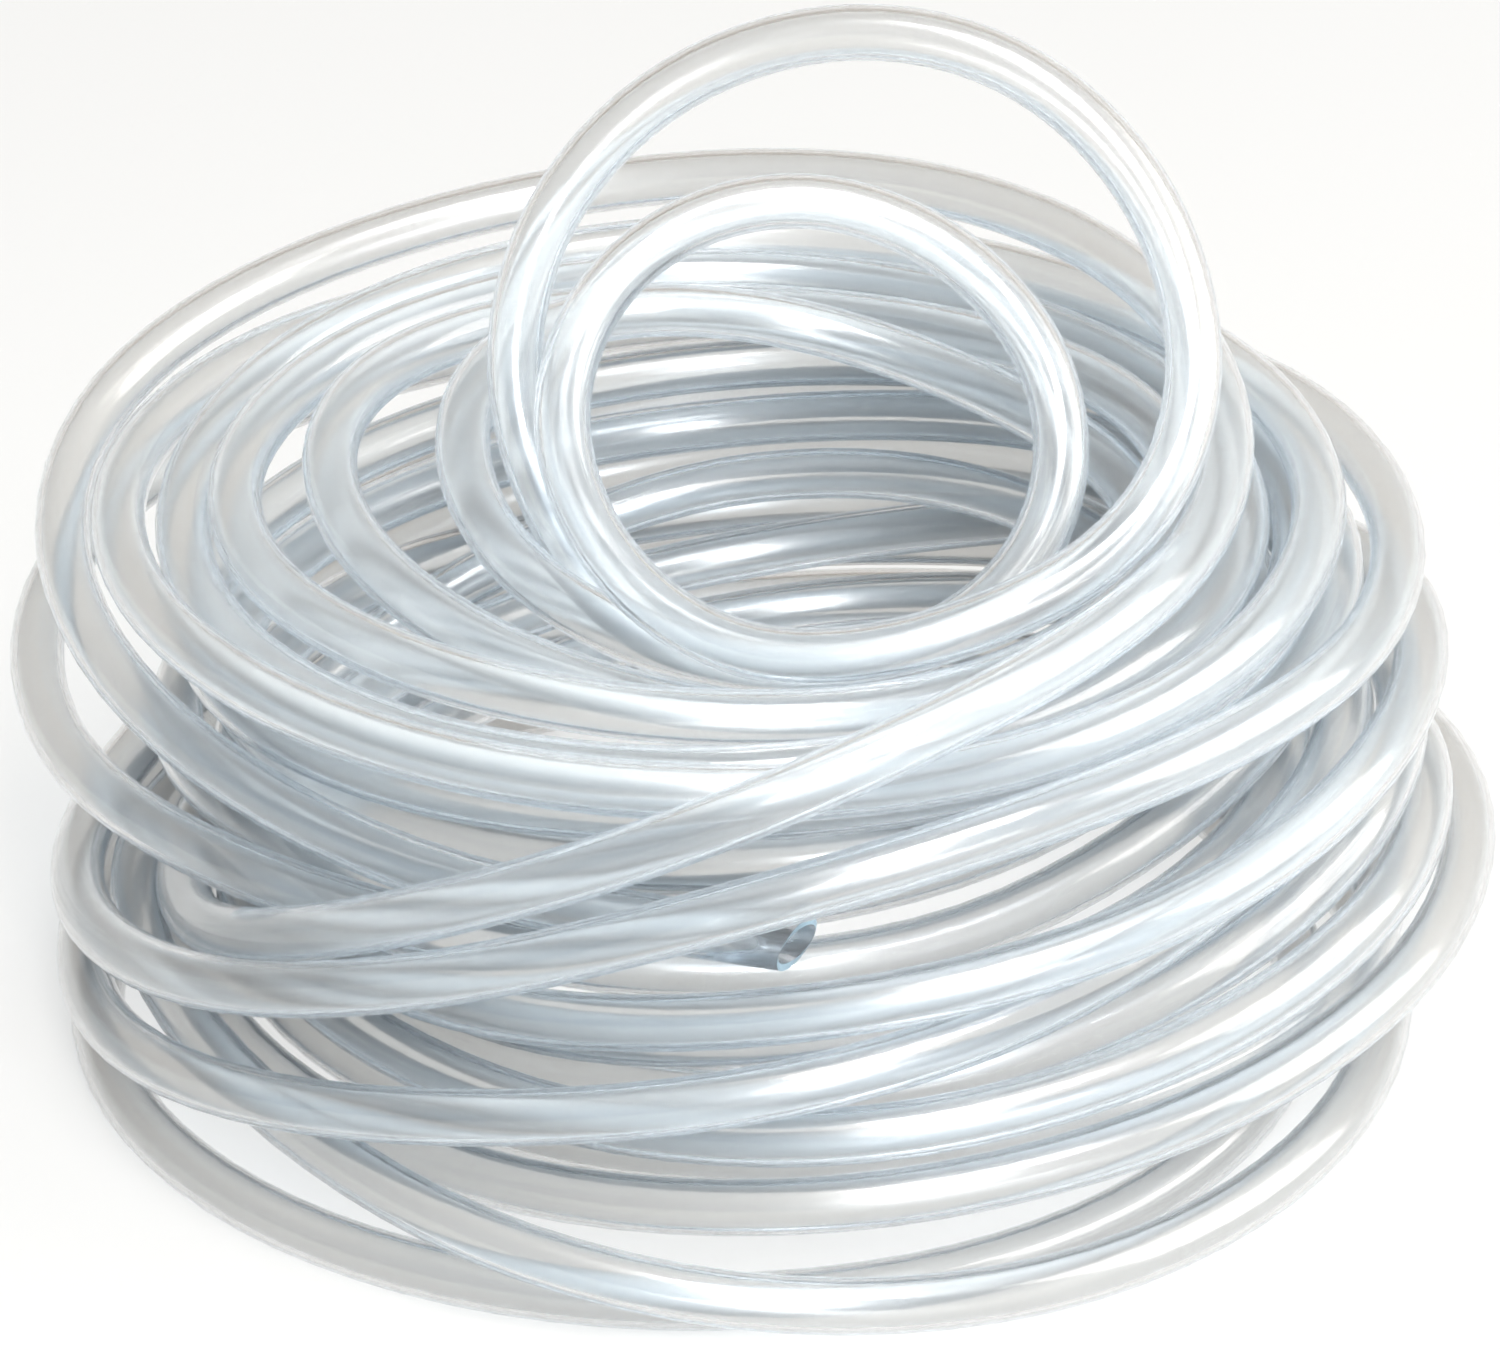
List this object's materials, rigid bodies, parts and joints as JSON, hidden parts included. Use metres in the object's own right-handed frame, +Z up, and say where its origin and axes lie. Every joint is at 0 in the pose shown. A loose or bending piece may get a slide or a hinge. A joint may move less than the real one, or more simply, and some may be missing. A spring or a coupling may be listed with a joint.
{
  "type": "silicone tubing coil",
  "caption": "Clear thin-walled silicone tubing wound into a loose basket-shaped coil that stands on its own turns, with loops standing above it and open cut ends.",
  "frame": {"origin": "on the floor under the middle of the coil's box", "axes": "+Z up out of the coil, +X to the right of the view that shows the cut end, +Y to the back"},
  "size_m": [0.2212, 0.2061, 0.1572],
  "materials": {
    "silicone": "clear, slightly milky, smooth extruded gloss"
  },
  "bodies": {
    "root": {"tubing": "silicone"}
  },
  "joints": []
}
